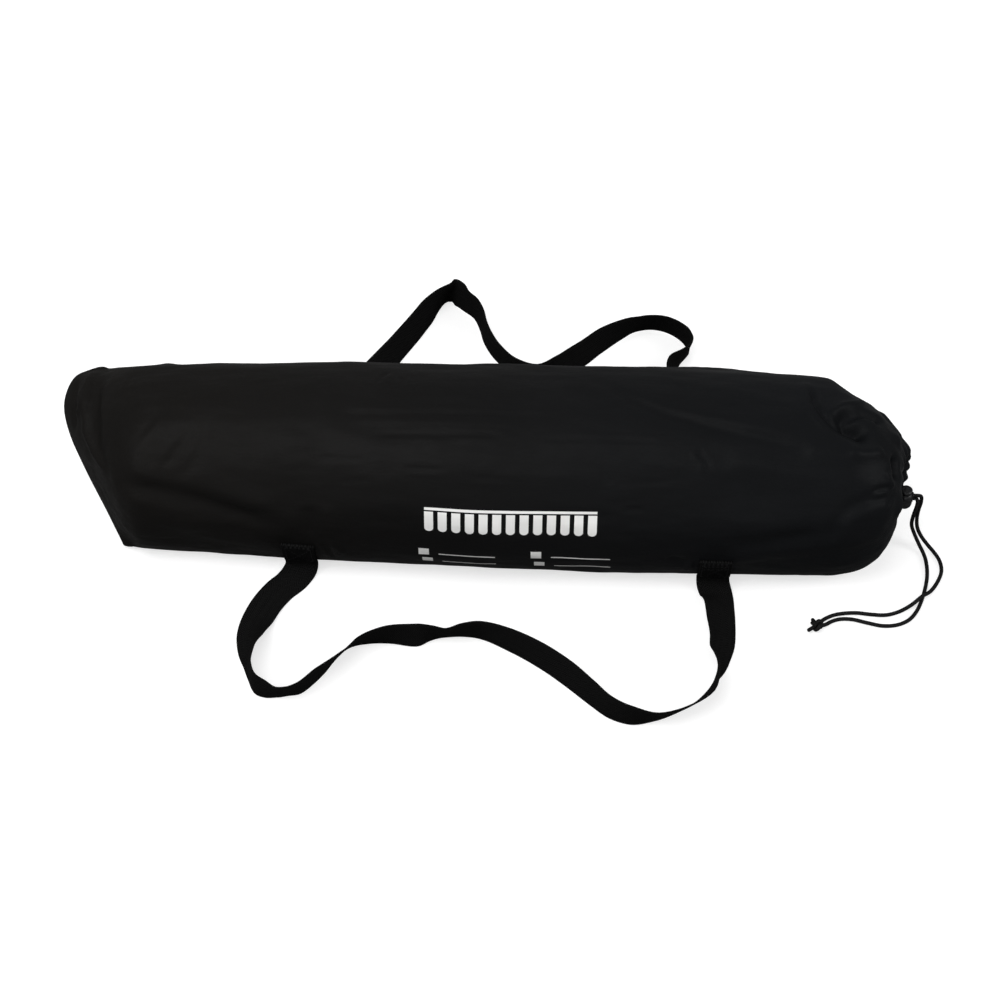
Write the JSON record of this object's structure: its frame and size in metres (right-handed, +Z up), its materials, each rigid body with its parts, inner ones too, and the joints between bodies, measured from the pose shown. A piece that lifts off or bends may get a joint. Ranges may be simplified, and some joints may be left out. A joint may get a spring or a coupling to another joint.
{
  "type": "vehicle side awning",
  "caption": "Soft drawstring carry bag with webbing carry handles and a cord lock, packed with a rolled vehicle side awning, folding poles, pegs, guy ropes and suction cups.",
  "frame": {"origin": "on the floor, in the middle of the bag's flat underside", "axes": "+X along the bag from its closed end to its drawn mouth, +Y to the side away from the printed face, +Z up from the floor"},
  "size_m": [0.6752, 0.4385, 0.134],
  "materials": {
    "coated_nylon": "black coated nylon cloth, low sheen",
    "webbing": "black woven polypropylene webbing, matt",
    "black_cord": "black braided cord, matt",
    "black_plastic": "black moulded plastic, satin",
    "black_rubber": "black rubber, matt",
    "zinc_plated_steel": "zinc plated steel, satin",
    "guy_rope": "dark braided guy rope, matt"
  },
  "bodies": {
    "bag": {"awning_roll": "coated_nylon", "bag_body": "coated_nylon", "drawstring_knot": "black_cord", "drawstring_loop": "black_cord", "drawstring_tail_left": "black_cord", "drawstring_tail_right": "black_cord", "front_handle_left_end": "webbing", "front_handle_right_end": "webbing", "guy_rope_1": "guy_rope", "guy_rope_2": "guy_rope", "guy_rope_3": "guy_rope", "guy_rope_4": "guy_rope", "mouth_hem": "coated_nylon", "peg_1": "zinc_plated_steel", "peg_2": "zinc_plated_steel", "peg_3": "zinc_plated_steel", "peg_4": "zinc_plated_steel", "pole_1_foot": "black_rubber", "pole_1_section_1": "zinc_plated_steel", "pole_1_section_2": "zinc_plated_steel", "pole_1_section_3": "zinc_plated_steel", "pole_1_section_4": "zinc_plated_steel", "pole_1_shock_cord": "black_cord", "pole_1_tip": "zinc_plated_steel", "pole_2_foot": "black_rubber", "pole_2_section_1": "zinc_plated_steel", "pole_2_section_2": "zinc_plated_steel", "pole_2_section_3": "zinc_plated_steel", "pole_2_section_4": "zinc_plated_steel", "pole_2_shock_cord": "black_cord", "pole_2_tip": "zinc_plated_steel", "rear_handle_left_end": "webbing", "rear_handle_right_end": "webbing", "roll_strap_left": "webbing", "roll_strap_right": "webbing", "rope_runner_1": "black_plastic", "rope_runner_2": "black_plastic", "rope_runner_3": "black_plastic", "rope_runner_4": "black_plastic", "suction_cup_1_cap": "black_plastic", "suction_cup_1_pad": "black_rubber", "suction_cup_2_cap": "black_plastic", "suction_cup_2_pad": "black_rubber"},
    "front_handle": {"front_handle_loop": "webbing"},
    "rear_handle": {"rear_handle_loop": "webbing"},
    "cord_lock": {"cord_lock_body": "black_plastic", "cord_lock_spring": "zinc_plated_steel"},
    "lock_button": {"cord_lock_button": "black_plastic"},
    "suction_knob_1": {"suction_cup_1_knob": "black_plastic"},
    "suction_knob_2": {"suction_cup_2_knob": "black_plastic"}
  },
  "joints": [
    {"name": "front_handle_swing", "type": "hinge", "parent": "bag", "child": "front_handle", "pos_m": [0.0202, -0.0554, 0.0137], "axis": [-1, 0, 0], "range_deg": [0, 60]},
    {"name": "rear_handle_swing", "type": "hinge", "parent": "bag", "child": "rear_handle", "pos_m": [0.0202, 0.0758, 0.017], "axis": [1, 0, 0], "range_deg": [0, 65]},
    {"name": "cord_lock_slide", "type": "slide", "parent": "bag", "child": "cord_lock", "axis": [1, 0, 0], "range_m": [0, 0.0015]},
    {"name": "lock_button_press", "type": "slide", "parent": "cord_lock", "child": "lock_button", "axis": [0, 0, -1], "range_m": [0, 0.002], "stiffness_N_per_m": 600, "springref_m": -0.002, "deforming": ["cord_lock_spring"]},
    {"name": "suction_knob_1_turn", "type": "hinge", "parent": "bag", "child": "suction_knob_1", "pos_m": [-0.185, 0.0523, 0.066], "axis": [0, 1, 0], "range_deg": [0, 90]},
    {"name": "suction_knob_2_turn", "type": "hinge", "parent": "bag", "child": "suction_knob_2", "pos_m": [-0.115, 0.0523, 0.066], "axis": [0, 1, 0], "range_deg": [0, 90]}
  ]
}
